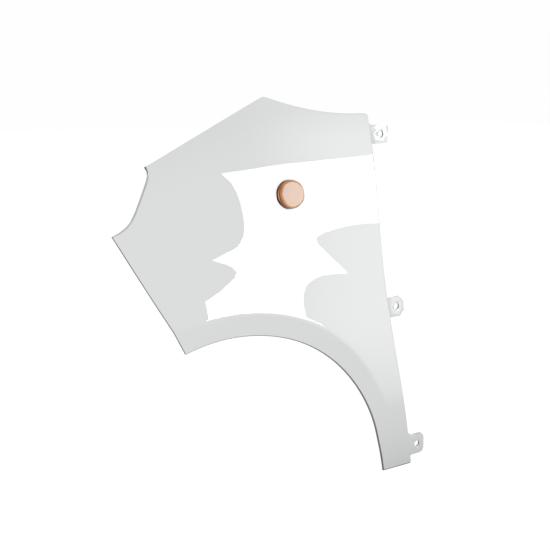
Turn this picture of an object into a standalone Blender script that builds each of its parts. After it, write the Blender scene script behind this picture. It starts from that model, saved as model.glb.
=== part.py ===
"""Moulded front fender of a small car, left side, with its round side repeater lamp.

Lengths are in metres. X runs rearward, Y inboard and Z up. The outline and the skin are drawn from the
centre of the wheel arch, and the origin of the model is on the inboard face of the middle ear, its seat.
"""
import math

import bmesh
import bpy
from mathutils import Vector
from mathutils.geometry import interpolate_bezier

# Wheel arch, seen from the side: an upright ellipse about the wheel's centre
ARCH_HALF_LENGTH = 0.330
ARCH_HEIGHT = 0.3545
ARCH_FRONT_REACH = 0.1047
ARCH_FRONT_DROP = 0.003
ARCH_REAR_FULLNESS = 0.0016
TOE_KICK = 0.008
TOE_KICK_START = 0.110

# Outline, from the wheel's centre: tip, headlamp notch, bonnet edge, windscreen edge, door edge and sill
TIP_REACH = 0.2226
TIP_HEIGHT = 0.5485
FRONT_EDGE_BOW = 0.0032
NOTCH_KNEE_REACH = 0.1815
NOTCH_KNEE_RISE = 0.039
NOTCH_KNEE_HEIGHT = TIP_HEIGHT + NOTCH_KNEE_RISE
NOTCH_HEEL_REACH = 0.1565
NOTCH_HEEL_RISE = 0.052
NOTCH_HEEL_HEIGHT = NOTCH_KNEE_HEIGHT + NOTCH_HEEL_RISE
NOTCH_TOP_REACH = 0.154
NOTCH_TOP_RISE = 0.026
NOTCH_TOP_HEIGHT = NOTCH_HEEL_HEIGHT + NOTCH_TOP_RISE
NOTCH_TIP_ANGLE = math.radians(25.0)
NOTCH_TOP_ANGLE = math.radians(-72.5)
NOTCH_HANDLE_SHARE = 0.38
BONNET_EDGE_BOW = 0.0028
PEAK_SETBACK = 0.0866
PEAK_RISE = 0.119
PEAK_HEIGHT = NOTCH_TOP_HEIGHT + PEAK_RISE
PEAK_RADIUS = 0.005
COWL_DROP = 0.0332
COWL_HEIGHT = PEAK_HEIGHT - COWL_DROP
DOOR_WAIST_AHEAD = 0.0222
DOOR_WAIST_SETBACK = ARCH_HALF_LENGTH - DOOR_WAIST_AHEAD
DOOR_WAIST_DROP = 0.1413
DOOR_WAIST_HEIGHT = COWL_HEIGHT - DOOR_WAIST_DROP
DOOR_TOP_LEAN = 0.0062
DOOR_TOP_SETBACK = DOOR_WAIST_SETBACK + DOOR_TOP_LEAN
DOOR_TOP_RADIUS = 0.007
COWL_FLAT_LENGTH = 0.039
COWL_FLAT_SETBACK = DOOR_TOP_SETBACK - COWL_FLAT_LENGTH
DOOR_BLEND = 0.270
DOOR_RAKE_SHARE = 0.238
SILL_HEIGHT = 0.030
SILL_CORNER_RADIUS = 0.005

# Skin: bowed inboard towards the front, crowned towards the bonnet, tucked under at the sill
BOW_DEPTH = 0.073
BOW_LENGTH = 0.624
BOW_START = 0.400
CROWN_DEPTH = 0.0686
CROWN_LENGTH = 0.537
CROWN_START = 0.250
CROWN_FALL = 0.052
CROWN_FALL_START = 0.250
CROWN_FALL_LENGTH = 0.405
TUCK_START = 0.190
TUCK_BLEND = 0.080
TUCK_ANGLE = math.radians(5.0)

# Band round the arch: a crease, and inside it a face that leans towards the wheel
BAND_WIDTH = 0.038
BAND_LEAN = math.radians(12.0)
BAND_SOFTNESS = 0.004
BAND_FADE_ANGLE = math.radians(60.0)

# Wall, and the lips and flanges that return inboard along its edges
WALL = 0.003
LIP_DEPTH = 0.0042
NOTCH_TOP_FLANGE_SHARE = 0.25
BONNET_FLANGE_DEPTH = 0.018
BONNET_FLANGE_DROOP = math.radians(30.0)
DOOR_FLANGE_DEPTH = 0.009
EDGE_RADIUS = 0.0015
OUTER_EDGE_GROUP = 0

# Ears that bolt the fender to the door pillar and the sill
EAR_HOLE_DIAMETER = 0.013
EAR_HOLE_INSET = 0.019
TOP_EAR_DROP = 0.0413
TOP_EAR_HEIGHT = COWL_HEIGHT - TOP_EAR_DROP
TOP_EAR_WIDTH = 0.037
TOP_EAR_REACH = 0.0523
TOP_EAR_CORNER = 0.008
MIDDLE_EAR_HEIGHT = 0.3698
MIDDLE_EAR_WIDTH = 0.041
MIDDLE_EAR_REACH = 0.0468
MIDDLE_EAR_CHAMFER = 0.011
LOWER_EAR_HEIGHT = 0.0725
LOWER_EAR_WIDTH = 0.047
LOWER_EAR_REACH = 0.0398
LOWER_EAR_CORNER = 0.011
LOWER_EAR_TAPER = 0.0028
TOP_EAR_PLANE = 0.0465
MIDDLE_EAR_PLANE = 0.0092
EAR_NECK = 0.007
EAR_FILLET = 0.003
DATUM_BELOW_HOLE = 0.013

# Faces of the skin: columns run from the arch to the outer edge, rings follow the arch
NOTCH_CURVE_COLUMNS = 4
NOTCH_STRAIGHT_COLUMNS = 3
NOTCH_HEEL_COLUMNS = 3
BONNET_COLUMNS = 10
COWL_COLUMNS = 8
CORNER_COLUMNS = 2
EAR_COLUMNS = 2
UPPER_DOOR_COLUMNS = 13
LOWER_DOOR_COLUMNS = 11
DOOR_TOP_FOOT_ANGLE = math.radians(80.0)
BAND_RING_SHARES = (0.0, 0.3, 0.6, 0.84, 0.95, 1.05, 1.2)
OUTER_RINGS = 13
EDGE_STRIP = 0.006


# Side repeater lamp: place of its axis on the skin, and its pieces from the face back to the contacts
LAMP_SETBACK = 0.1024
LAMP_DROP = 0.1438
LAMP_HEIGHT = COWL_HEIGHT - LAMP_DROP
LAMP_HOLE_DIAMETER = 0.040
SEAT_GAP = 0.0003
GASKET_DIAMETER = 0.0535
GASKET_THICKNESS = 0.002
HOUSING_FLANGE = 0.0024
HOUSING_INSET = 0.0003
HOUSING_CLEARANCE = 0.0008
HOUSING_WALL = 0.002
HOUSING_DEPTH = 0.016
HOUSING_CHAMFER = 0.004
SPIGOT_DIAMETER = 0.044
SPIGOT_HEIGHT = 0.003
HOOK_GAP = 0.0006
HOOK_REACH = 0.0022
HOOK_LAND = 0.001
HOOK_HEIGHT = 0.006
HOOK_WIDTH = 0.008
LENS_HEIGHT = 0.0148
LENS_FACE_DIAMETER = 0.0438
LENS_SHOULDER = 0.0030
LENS_DRAFT = 0.0006
LENS_INSET = 0.0005
LENS_CROWN = 0.0006
LENS_WALL = 0.002
BULB_DIAMETER = 0.010
BULB_LENGTH = 0.0185
BULB_TIP = 0.0105
WEDGE_WIDTH = 0.009
WEDGE_THICKNESS = 0.0024
WEDGE_LENGTH = 0.006
BULB_HOLE_DIAMETER = 0.018
HOLDER_CLEARANCE = 0.0004
HOLDER_FLANGE = 0.002
HOLDER_FLANGE_WIDTH = 0.003
SHROUD_WIDTH = 0.015
SHROUD_THICKNESS = 0.009
SHROUD_LENGTH = 0.011
SHROUD_WALL = 0.0013
TERMINAL_SPACING = 0.006
TERMINAL_WIDTH = 0.003
TERMINAL_THICKNESS = 0.0008
TERMINAL_LENGTH = 0.008
TERMINAL_SEAT = 0.001

# Cuts and smoothness
MERGE_DISTANCE = 0.000001
CUT_OVERRUN = 0.002
EAR_DRILL_LENGTH = 0.030
ACROSS = (math.pi / 2.0, 0.0, 0.0)
LAMP_DRILL_LENGTH = 0.040
EDGE_SHARP_ANGLE = math.radians(40.0)
TURNED_SHARP_ANGLE = math.radians(35.0)
LAMP_STEPS = 40
HOLE_STEPS = 24
SMALL_STEPS = 24
BULB_DOME_STEPS = 4
SHOULDER_STEPS = 4


def clear_scene():
    """Remove whatever the scene holds."""
    for thing in list(bpy.data.objects):
        bpy.data.objects.remove(thing, do_unlink=True)


def material(name, colour, roughness, metallic=0.0, transmission=0.0):
    """A Principled material with the piece's colour."""
    made = bpy.data.materials.new(name)
    made.use_nodes = True
    shader = made.node_tree.nodes["Principled BSDF"]
    shader.inputs["Base Color"].default_value = (*colour, 1.0)
    shader.inputs["Roughness"].default_value = roughness
    shader.inputs["Metallic"].default_value = metallic
    shader.inputs["Transmission Weight"].default_value = transmission
    return made


# Outline, as points in the side view
def arch_radius(x, z):
    """Size of the arch-shaped ellipse that passes through a point, as its half length."""
    return math.hypot(x, z * ARCH_HALF_LENGTH / ARCH_HEIGHT)


def ring_point(radius, angle):
    """Point at an angle on the arch-shaped ellipse of a half length."""
    return Vector((radius * math.cos(angle), 0.0, radius * ARCH_HEIGHT / ARCH_HALF_LENGTH * math.sin(angle)))


def bowed_line(start, end, bow, steps):
    """Points from start to end on a shallow parabola that bulges to the left of the way by bow."""
    way = end - start
    side = Vector((-way.z, 0.0, way.x)).normalized()
    shares = [step / steps for step in range(steps + 1)]
    return [start + way * share + side * (4.0 * bow * share * (1.0 - share)) for share in shares]


def bezier(start, start_handle, end_handle, end, steps):
    """Points of a Bezier curve with its two handles given as vectors from its ends."""
    return list(interpolate_bezier(start, start + start_handle, end + end_handle, end, steps + 1))


def rounded_corner(before, corner, after, radius):
    """Three points that round a corner between its two neighbours."""
    into = (before - corner).normalized() * radius
    out = (after - corner).normalized() * radius
    start = corner + into
    end = corner + out
    middle = (start + end) / 4.0 + corner / 2.0
    return [start, middle, end]


def door_edge(z):
    """Point of the door edge at a height: nearly upright at the top, raked back below its waist."""
    if z >= DOOR_WAIST_HEIGHT:
        share = (z - DOOR_WAIST_HEIGHT) / (COWL_HEIGHT - DOOR_WAIST_HEIGHT)
        return Vector((DOOR_WAIST_SETBACK + (DOOR_TOP_SETBACK - DOOR_WAIST_SETBACK) * share ** 2, 0.0, z))
    drop = DOOR_WAIST_HEIGHT - z
    if drop < DOOR_BLEND:
        lean = drop ** 2 / (2.0 * DOOR_BLEND)
    else:
        lean = drop - DOOR_BLEND / 2.0
    return Vector((DOOR_WAIST_SETBACK + DOOR_RAKE_SHARE * lean, 0.0, z))


def door_points(top, bottom, steps):
    """Points of the door edge between two heights."""
    return [door_edge(top + (bottom - top) * step / steps) for step in range(steps + 1)]


def notch_points():
    """Headlamp notch, from the tip up to the bonnet edge."""
    tip = Vector((-TIP_REACH, 0.0, TIP_HEIGHT))
    knee = Vector((-NOTCH_KNEE_REACH, 0.0, NOTCH_KNEE_HEIGHT))
    heel = Vector((-NOTCH_HEEL_REACH, 0.0, NOTCH_HEEL_HEIGHT))
    top = Vector((-NOTCH_TOP_REACH, 0.0, NOTCH_TOP_HEIGHT))
    straight = (heel - knee).normalized()
    curve_handle = (knee - tip).length * NOTCH_HANDLE_SHARE
    bend_handle = (top - heel).length * NOTCH_HANDLE_SHARE
    tip_way = Vector((math.cos(NOTCH_TIP_ANGLE), 0.0, math.sin(NOTCH_TIP_ANGLE)))
    top_way = Vector((math.cos(NOTCH_TOP_ANGLE), 0.0, math.sin(NOTCH_TOP_ANGLE)))
    curve = bezier(tip, tip_way * curve_handle, -straight * curve_handle, knee, NOTCH_CURVE_COLUMNS)
    middle = bowed_line(knee, heel, 0.0, NOTCH_STRAIGHT_COLUMNS)
    bend = bezier(heel, straight * bend_handle, top_way * bend_handle, top, NOTCH_HEEL_COLUMNS)
    return curve + middle[1:] + bend[1:]


def ear_spans():
    """Highest and lowest point of each ear's root on the door edge, from the top ear down."""
    ears = ((TOP_EAR_HEIGHT, TOP_EAR_WIDTH), (MIDDLE_EAR_HEIGHT, MIDDLE_EAR_WIDTH),
            (LOWER_EAR_HEIGHT, LOWER_EAR_WIDTH))
    return [(height + width / 2.0, height - width / 2.0) for height, width in ears]


def outer_outline():
    """Outer edge of the panel from the tip over the bonnet edge and down the door edge to the sill.

    Returns its points and the first and last index of each ear's root.
    """
    points = notch_points()
    peak = Vector((PEAK_SETBACK, 0.0, PEAK_HEIGHT))
    cowl_flat = Vector((COWL_FLAT_SETBACK, 0.0, COWL_HEIGHT))
    cowl_middle = Vector(((PEAK_SETBACK + COWL_FLAT_SETBACK) / 2.0, 0.0, COWL_HEIGHT))
    door_top = Vector((DOOR_TOP_SETBACK, 0.0, COWL_HEIGHT))
    peak_round = rounded_corner(points[-1], peak, cowl_middle, PEAK_RADIUS)
    points += bowed_line(points[-1], peak_round[0], BONNET_EDGE_BOW, BONNET_COLUMNS)[1:]
    points += peak_round[1:]
    cowl_start = (cowl_middle - peak_round[2]) * 2.0 / 3.0
    cowl_end = (cowl_middle - cowl_flat) * 2.0 / 3.0
    points += bezier(peak_round[2], cowl_start, cowl_end, cowl_flat, COWL_COLUMNS)[1:]
    points += rounded_corner(cowl_flat, door_top, door_edge(DOOR_WAIST_HEIGHT), DOOR_TOP_RADIUS)
    roots = []
    steps_above = (1, UPPER_DOOR_COLUMNS, LOWER_DOOR_COLUMNS)
    for (top, bottom), steps in zip(ear_spans(), steps_above):
        points += door_points(points[-1].z, top + EAR_FILLET, steps)[1:]
        points.append(door_edge(top))
        first = len(points) - 1
        points += door_points(top, bottom, EAR_COLUMNS)[1:]
        roots.append((first, len(points) - 1))
        points.append(door_edge(bottom - EAR_FILLET))
    heel = door_edge(SILL_HEIGHT)
    sill_front = Vector((ARCH_HALF_LENGTH, 0.0, SILL_HEIGHT))
    points += rounded_corner(points[-1], heel, sill_front, SILL_CORNER_RADIUS)
    return points, roots


# Skin
def skin_depth(x, z):
    """How far inboard the outer face of the skin lies at a point of the side view."""
    bow = BOW_DEPTH * (max(BOW_START - x, 0.0) / BOW_LENGTH) ** 3
    fall = CROWN_FALL * (max(CROWN_FALL_START - x, 0.0) / CROWN_FALL_LENGTH) ** 2
    crown = CROWN_DEPTH * (max(z + fall - CROWN_START, 0.0) / CROWN_LENGTH) ** 4
    below = max(TUCK_START - z, 0.0)
    blended = min(below, TUCK_BLEND)
    tuck = math.tan(TUCK_ANGLE) * (blended ** 2 / (2.0 * TUCK_BLEND) + below - blended)
    inside = ARCH_HALF_LENGTH + BAND_WIDTH - arch_radius(x, z)
    leaning = 0.5 * (inside + math.hypot(inside, BAND_SOFTNESS))
    share = min(max(math.atan2(z, x) / BAND_FADE_ANGLE, 0.0), 1.0)
    band = math.tan(BAND_LEAN) * leaning * share ** 2 * (3.0 - 2.0 * share)
    return bow + crown + tuck + band


def skin_normal(x, z):
    """Outward direction of the skin at a point of the side view."""
    step = WALL
    along = skin_depth(x + step, z) - skin_depth(x - step, z)
    up = skin_depth(x, z + step) - skin_depth(x, z - step)
    return Vector((along / (2.0 * step), -1.0, up / (2.0 * step))).normalized()


def on_skin(point):
    """A side view point laid on the skin."""
    return Vector((point.x, skin_depth(point.x, point.z), point.z))


def ellipse_angle(point):
    """Angle of a point on the arch-shaped ellipse that passes through it."""
    return math.atan2(point.z * ARCH_HALF_LENGTH / ARCH_HEIGHT, point.x)


def share_at_radius(edge, radius):
    """Share of an edge, running outwards, at which it crosses the arch-shaped ellipse of a half length."""
    low, high = 0.0, 1.0
    for _halving in range(30):
        share = (low + high) / 2.0
        point = edge(share)
        if arch_radius(point.x, point.z) < radius:
            low = share
        else:
            high = share
    return low


def bonnet_columns():
    """Columns from the front edge to the end of the bonnet and windscreen edge."""
    notch = NOTCH_CURVE_COLUMNS + NOTCH_STRAIGHT_COLUMNS + NOTCH_HEEL_COLUMNS
    return notch, notch + BONNET_COLUMNS + CORNER_COLUMNS + COWL_COLUMNS + 1


def column_angles(front, rear, columns):
    """Angles at which the columns leave the arch, evenly up to the door-top corner and evenly after it."""
    _notch, corner = bonnet_columns()
    before = [front + (DOOR_TOP_FOOT_ANGLE - front) * column / corner for column in range(corner)]
    after = [DOOR_TOP_FOOT_ANGLE + (rear - DOOR_TOP_FOOT_ANGLE) * (column - corner) / (columns - corner)
             for column in range(corner, columns + 1)]
    return before + after


def arch_departure(radius, angle):
    """How far the arch's edge departs from its ellipse: lower in front, fuller behind, kicked back at the toe."""
    point = ring_point(radius, angle)
    low = max(TOE_KICK_START - point.z, 0.0) / (TOE_KICK_START - SILL_HEIGHT)
    drop = ARCH_FRONT_DROP * (min(point.x, 0.0) / ARCH_FRONT_REACH) ** 2
    fuller = ARCH_REAR_FULLNESS * math.sin(2.0 * min(angle, math.pi / 2.0)) ** 2
    return Vector((TOE_KICK * low ** 1.5 + fuller * math.cos(angle), 0.0, fuller * math.sin(angle) - drop))


def skin_net():
    """Points of the skin in the side view, ring by ring from the arch outwards, and the ears' roots."""
    outer, roots = outer_outline()
    columns = len(outer) - 1
    corner = ring_point(ARCH_HALF_LENGTH, math.acos(-ARCH_FRONT_REACH / ARCH_HALF_LENGTH))
    toe = Vector((math.sqrt(ARCH_HALF_LENGTH ** 2 - (SILL_HEIGHT * ARCH_HALF_LENGTH / ARCH_HEIGHT) ** 2),
                  0.0, SILL_HEIGHT))

    def front_edge(share):
        way = outer[0] - corner
        side = Vector((-way.z, 0.0, way.x)).normalized()
        return corner + way * share + side * (4.0 * FRONT_EDGE_BOW * share * (1.0 - share))

    def sill_edge(share):
        return toe.lerp(outer[-1], share)

    rings = []
    for band_share in BAND_RING_SHARES:
        radius = ARCH_HALF_LENGTH + BAND_WIDTH * band_share
        front_share = share_at_radius(front_edge, radius)
        front = ellipse_angle(front_edge(front_share))
        rear = ellipse_angle(sill_edge(share_at_radius(sill_edge, radius)))
        fade = 1.0 - band_share / BAND_RING_SHARES[-1]
        rings.append([ring_point(radius, angle) + arch_departure(radius, angle) * fade
                      for angle in column_angles(front, rear, columns)])
    inner = rings[-1]
    for ring in range(1, OUTER_RINGS + 1):
        ways = [(1.0 - EDGE_STRIP / (end - start).length) * ring / OUTER_RINGS for start, end in zip(inner, outer)]
        points = [start.lerp(end, way) for start, end, way in zip(inner, outer, ways)]
        points[0] = front_edge(front_share + (1.0 - front_share) * ways[0])
        rings.append(points)
    rings.append(outer)
    return rings, roots


# Lips and ears
def ear_planes():
    """Depth of each ear's outer face at its centre, and how far it leans inboard for each metre down."""
    lower = skin_depth(BOW_START, LOWER_EAR_HEIGHT)
    return ((TOP_EAR_PLANE, 0.0), (MIDDLE_EAR_PLANE, 0.0), (lower, math.tan(TUCK_ANGLE)))


def ear_corners():
    """Height, width, reach, taper of the upper side, and rows of each ear.

    A row tells how far it stands in front of the ear's end and inside the ear's upper and lower side.
    """
    quarter = [math.radians(angle) for angle in (0.0, 30.0, 60.0, 90.0)]
    top = [(TOP_EAR_CORNER * (1.0 - math.sin(a)), TOP_EAR_CORNER * (1.0 - math.cos(a))) for a in quarter]
    middle = [(MIDDLE_EAR_CHAMFER, 0.0), (0.0, MIDDLE_EAR_CHAMFER)]
    lower = [(LOWER_EAR_CORNER * (1.0 - math.sin(a)), LOWER_EAR_CORNER * (1.0 - math.cos(a))) for a in quarter]
    return ((TOP_EAR_HEIGHT, TOP_EAR_WIDTH, TOP_EAR_REACH, 0.0, top),
            (MIDDLE_EAR_HEIGHT, MIDDLE_EAR_WIDTH, MIDDLE_EAR_REACH, 0.0, middle),
            (LOWER_EAR_HEIGHT, LOWER_EAR_WIDTH, LOWER_EAR_REACH, LOWER_EAR_TAPER, lower))


def ear_hole(index):
    """Centre of an ear's hole, on its outer face."""
    height, _width, reach, taper, _rows = ear_corners()[index]
    plane, lean = ear_planes()[index]
    return Vector((door_edge(height).x + reach - EAR_HOLE_INSET, plane + lean * taper / 2.0, height - taper / 2.0))


def first_step(column, point, roots):
    """Where the first strip beyond the skin's outer edge ends: a lip, a flange or the neck of an ear."""
    skin = on_skin(point)
    for (first, last), (plane, lean), (height, *_rest) in zip(roots, ear_planes(), ear_corners()):
        if first <= column <= last:
            return Vector((skin.x + EAR_NECK, plane + lean * (height - skin.z), skin.z))
    notch_end, bonnet_end = bonnet_columns()
    lip = Vector((0.0, LIP_DEPTH, 0.0))
    if column < notch_end or column > roots[-1][1]:
        return skin + lip
    door = Vector((0.0, DOOR_FLANGE_DEPTH, 0.0))
    bonnet = Vector((0.0, math.cos(BONNET_FLANGE_DROOP), -math.sin(BONNET_FLANGE_DROOP))) * BONNET_FLANGE_DEPTH
    if column == notch_end:
        return skin + lip.lerp(bonnet, NOTCH_TOP_FLANGE_SHARE)
    share = min(max((column - bonnet_end) / CORNER_COLUMNS, 0.0), 1.0)
    return skin + bonnet.lerp(door, share)


def extrude_strip(shell, loop, ends):
    """Extrude the edges along a row of vertices to a row of end points, and return the new vertices."""
    edges = [shell.edges.get((one, other)) for one, other in zip(loop, loop[1:])]
    made = bmesh.ops.extrude_edge_only(shell, edges=edges)["geom"]
    fresh = [item for item in made if isinstance(item, bmesh.types.BMVert)]
    row = [next(new for new in fresh if shell.edges.get((vert, new))) for vert in loop]
    for twin, end in zip(row, ends):
        twin.co = end
    return row


def add_ear(shell, root, index):
    """Carry an ear from its neck out to its end, with its corners cut or rounded."""
    height, width, reach, taper, rows = ear_corners()[index]
    plane, lean = ear_planes()[index]
    slant = (root[-1].co.x - root[0].co.x) / (2.0 * width)
    end = door_edge(height).x + reach
    for back, inset in rows:
        ends = []
        for vert in root:
            upper = height + width / 2.0 - inset - taper
            lower = height - width / 2.0 + inset
            z = max(lower, min(upper, vert.co.z))
            ends.append(Vector((end - back + slant * (height - z), plane + lean * (height - z), z)))
        root = extrude_strip(shell, root, ends)


def fender_shell():
    """Open shell of the outer face, with its lips, flanges and ears, as a mesh."""
    rings, roots = skin_net()
    columns = len(rings[0]) - 1
    shell = bmesh.new()
    groups = shell.verts.layers.deform.new()
    bmesh.ops.create_grid(shell, x_segments=columns, y_segments=len(rings) - 1, size=1.0)
    verts = {}
    for vert in shell.verts:
        column = round((vert.co.x + 1.0) / 2.0 * columns)
        ring = round((vert.co.y + 1.0) / 2.0 * (len(rings) - 1))
        verts[ring, column] = vert
    for (ring, column), vert in verts.items():
        vert.co = on_skin(rings[ring][column])
    lip = Vector((0.0, LIP_DEPTH, 0.0))
    last = len(rings) - 1
    outer = [verts[last, column] for column in range(columns + 1)]
    rim = outer + [verts[ring, columns] for ring in range(last - 1, -1, -1)]
    rim += [verts[0, column] for column in range(columns - 1, -1, -1)]
    rim += [verts[ring, 0] for ring in range(1, last + 1)]
    ends = [first_step(column, rings[last][column], roots) for column in range(columns + 1)]
    ends += [vert.co + lip for vert in rim[columns + 1:]]
    strip = extrude_strip(shell, rim, ends)
    for index, (first, final) in enumerate(roots):
        add_ear(shell, strip[first:final + 1], index)
    for vert in rim:
        vert[groups][OUTER_EDGE_GROUP] = 1.0
    bmesh.ops.recalc_face_normals(shell, faces=shell.faces)
    shell.faces.ensure_lookup_table()
    if shell.faces[0].normal.y > 0.0:
        bmesh.ops.reverse_faces(shell, faces=shell.faces)
    mesh = bpy.data.meshes.new("fender_panel")
    shell.to_mesh(mesh)
    shell.free()
    return mesh


# Pieces as objects
def add_object(name, mesh, parent, finish):
    """Put a mesh in the scene as one named piece on its parent."""
    made = bpy.data.objects.new(name, mesh)
    bpy.context.collection.objects.link(made)
    made.parent = parent
    mesh.materials.append(finish)
    return made


def add_empty(name, location, rotation, parent=None):
    """An empty that carries the pieces placed from it."""
    made = bpy.data.objects.new(name, None)
    bpy.context.collection.objects.link(made)
    made.location = location
    made.rotation_euler = rotation
    made.parent = parent
    return made


def smooth(mesh, angle):
    """Shade round faces smooth and keep edges sharper than an angle."""
    mesh.shade_smooth()
    mesh.set_sharp_from_angle(angle=angle)


def turned(name, outline, steps, closed):
    """Solid turned about Z from an outline of radius and height; closed outlines make rings."""
    body = bmesh.new()
    verts = [body.verts.new((radius, 0.0, height)) for radius, height in outline]
    pairs = list(zip(verts, verts[1:]))
    if closed:
        pairs.append((verts[-1], verts[0]))
    edges = [body.edges.new(pair) for pair in pairs]
    bmesh.ops.spin(body, geom=verts + edges, cent=(0.0, 0.0, 0.0), axis=(0.0, 0.0, 1.0),
                   angle=math.tau, steps=steps, use_merge=False, use_duplicate=False)
    bmesh.ops.remove_doubles(body, verts=body.verts, dist=MERGE_DISTANCE)
    bmesh.ops.recalc_face_normals(body, faces=body.faces)
    mesh = bpy.data.meshes.new(name)
    body.to_mesh(mesh)
    body.free()
    smooth(mesh, TURNED_SHARP_ANGLE)
    return mesh


def block(name, size, centre):
    """Box of a size about a centre."""
    body = bmesh.new()
    bmesh.ops.create_cube(body, size=1.0)
    bmesh.ops.scale(body, vec=size, verts=body.verts)
    bmesh.ops.translate(body, vec=centre, verts=body.verts)
    mesh = bpy.data.meshes.new(name)
    body.to_mesh(mesh)
    body.free()
    return mesh


def helper(name, mesh, parent, location=(0.0, 0.0, 0.0), rotation=(0.0, 0.0, 0.0)):
    """Cutter or added form for a Boolean, left out of the model itself."""
    made = bpy.data.objects.new(name, mesh)
    bpy.context.collection.objects.link(made)
    made.parent = parent
    made.location = location
    made.rotation_euler = rotation
    made.hide_render = True
    made.display_type = "WIRE"
    return made


def combine(target, tool, operation):
    """Cut one object with another, or join another to it."""
    boolean = target.modifiers.new(f"{operation.lower()}_{tool.name}", "BOOLEAN")
    boolean.operation = operation
    boolean.object = tool


def lamp_rotation():
    """Turn that points a piece's own Z out of the skin where the lamp sits."""
    return skin_normal(LAMP_SETBACK, LAMP_HEIGHT).to_track_quat("Z", "Y").to_euler()


# Fender panel: one moulding, 3 mm thick, painted outside
def make_fender(wheel_centre, lamp_seat):
    """The panel with its wall, softened edges, ear holes and lamp hole."""
    panel = add_object("fender_panel", fender_shell(), wheel_centre,
                       material("painted_plastic", (0.80, 0.81, 0.81), 0.18))
    wall = panel.modifiers.new("wall", "SOLIDIFY")
    wall.thickness = WALL
    wall.offset = -1.0
    wall.use_even_offset = True
    wall.use_quality_normals = True
    outer_edge = panel.vertex_groups.new(name="outer_edge")
    inner_side = panel.vertex_groups.new(name="inner_side")
    wall.shell_vertex_group = inner_side.name
    keep_outer = panel.modifiers.new("keep_outer", "VERTEX_WEIGHT_MIX")
    keep_outer.vertex_group_a = outer_edge.name
    keep_outer.vertex_group_b = inner_side.name
    keep_outer.mix_mode = "SUB"
    keep_outer.mix_set = "B"
    edges = panel.modifiers.new("soft_edges", "BEVEL")
    edges.width = EDGE_RADIUS
    edges.segments = 2
    edges.use_clamp_overlap = False
    edges.limit_method = "VGROUP"
    edges.vertex_group = outer_edge.name
    for index in range(len(ear_planes())):
        drill = turned(f"ear_drill_{index}", drill_outline(EAR_HOLE_DIAMETER / 2.0, EAR_DRILL_LENGTH),
                       HOLE_STEPS, closed=False)
        combine(panel, helper(f"ear_drill_{index}", drill, wheel_centre, ear_hole(index), ACROSS), "DIFFERENCE")
    lamp_drill = turned("lamp_drill", drill_outline(LAMP_HOLE_DIAMETER / 2.0, LAMP_DRILL_LENGTH),
                        LAMP_STEPS, closed=False)
    combine(panel, helper("lamp_drill", lamp_drill, lamp_seat), "DIFFERENCE")
    smooth(panel.data, EDGE_SHARP_ANGLE)
    return panel


def drill_outline(radius, length):
    """Outline of a round cutter that reaches half its length either way."""
    return [(0.0, length / 2.0), (radius, length / 2.0), (radius, -length / 2.0), (0.0, -length / 2.0)]


# Side repeater lamp, measured along its own axis from the skin's outer face
def make_gasket(lamp_seat):
    """Flat rubber ring between the lamp and the paint."""
    low = SEAT_GAP
    high = low + GASKET_THICKNESS
    outer = GASKET_DIAMETER / 2.0
    inner = LAMP_HOLE_DIAMETER / 2.0 + SEAT_GAP
    outline = [(inner, high), (outer, high), (outer, low), (inner, low)]
    return add_object("lamp_gasket", turned("lamp_gasket", outline, LAMP_STEPS, closed=True), lamp_seat,
                      material("black_rubber", (0.02, 0.02, 0.02), 0.7))


def make_housing(lamp_seat):
    """Black base with a bowl that passes through the panel, two snap hooks and the hole for the bulb."""
    base = 2.0 * SEAT_GAP + GASKET_THICKNESS
    top = base + HOUSING_FLANGE
    flange = GASKET_DIAMETER / 2.0 - HOUSING_INSET
    tube = LAMP_HOLE_DIAMETER / 2.0 - HOUSING_CLEARANCE
    bore = tube - HOUSING_WALL
    spigot = SPIGOT_DIAMETER / 2.0
    mouth = spigot - HOUSING_WALL
    hole = BULB_HOLE_DIAMETER / 2.0
    back = -HOUSING_DEPTH
    floor = back + HOUSING_WALL
    outline = [
        (flange, top), (flange, base), (tube, base), (tube, back + HOUSING_CHAMFER),
        (tube - HOUSING_CHAMFER, back), (hole, back), (hole, floor),
        (bore - HOUSING_CHAMFER, floor), (bore, floor + HOUSING_CHAMFER), (bore, base),
        (mouth, top), (mouth, top + SPIGOT_HEIGHT), (spigot, top + SPIGOT_HEIGHT), (spigot, top),
    ]
    housing = add_object("lamp_housing", turned("lamp_housing", outline, LAMP_STEPS, closed=True), lamp_seat,
                         material("black_plastic", (0.03, 0.03, 0.03), 0.45))
    for side in (-1.0, 1.0):
        hook = helper(f"snap_hook_{'front' if side < 0.0 else 'rear'}", snap_hook(tube, side), lamp_seat)
        combine(housing, hook, "UNION")
    return housing


def snap_hook(tube, side):
    """Wedge that springs out behind the panel and holds the lamp in."""
    top = -(WALL + HOOK_GAP)
    root = tube - HOUSING_WALL / 2.0
    outline = [(root, top), (tube + HOOK_REACH, top), (tube + HOOK_REACH, top - HOOK_LAND),
               (tube, top - HOOK_HEIGHT), (root, top - HOOK_HEIGHT)]
    body = bmesh.new()
    verts = [body.verts.new((side * x, -HOOK_WIDTH / 2.0, z)) for x, z in outline]
    face = body.faces.new(verts)
    sweep = bmesh.ops.extrude_face_region(body, geom=[face])["geom"]
    moved = [item for item in sweep if isinstance(item, bmesh.types.BMVert)]
    bmesh.ops.translate(body, vec=(0.0, HOOK_WIDTH, 0.0), verts=moved)
    bmesh.ops.recalc_face_normals(body, faces=body.faces)
    mesh = bpy.data.meshes.new("snap_hook")
    body.to_mesh(mesh)
    body.free()
    return mesh


def lens_rest():
    """Height at which the lens stands on the housing's flange."""
    return 3.0 * SEAT_GAP + GASKET_THICKNESS + HOUSING_FLANGE


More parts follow.
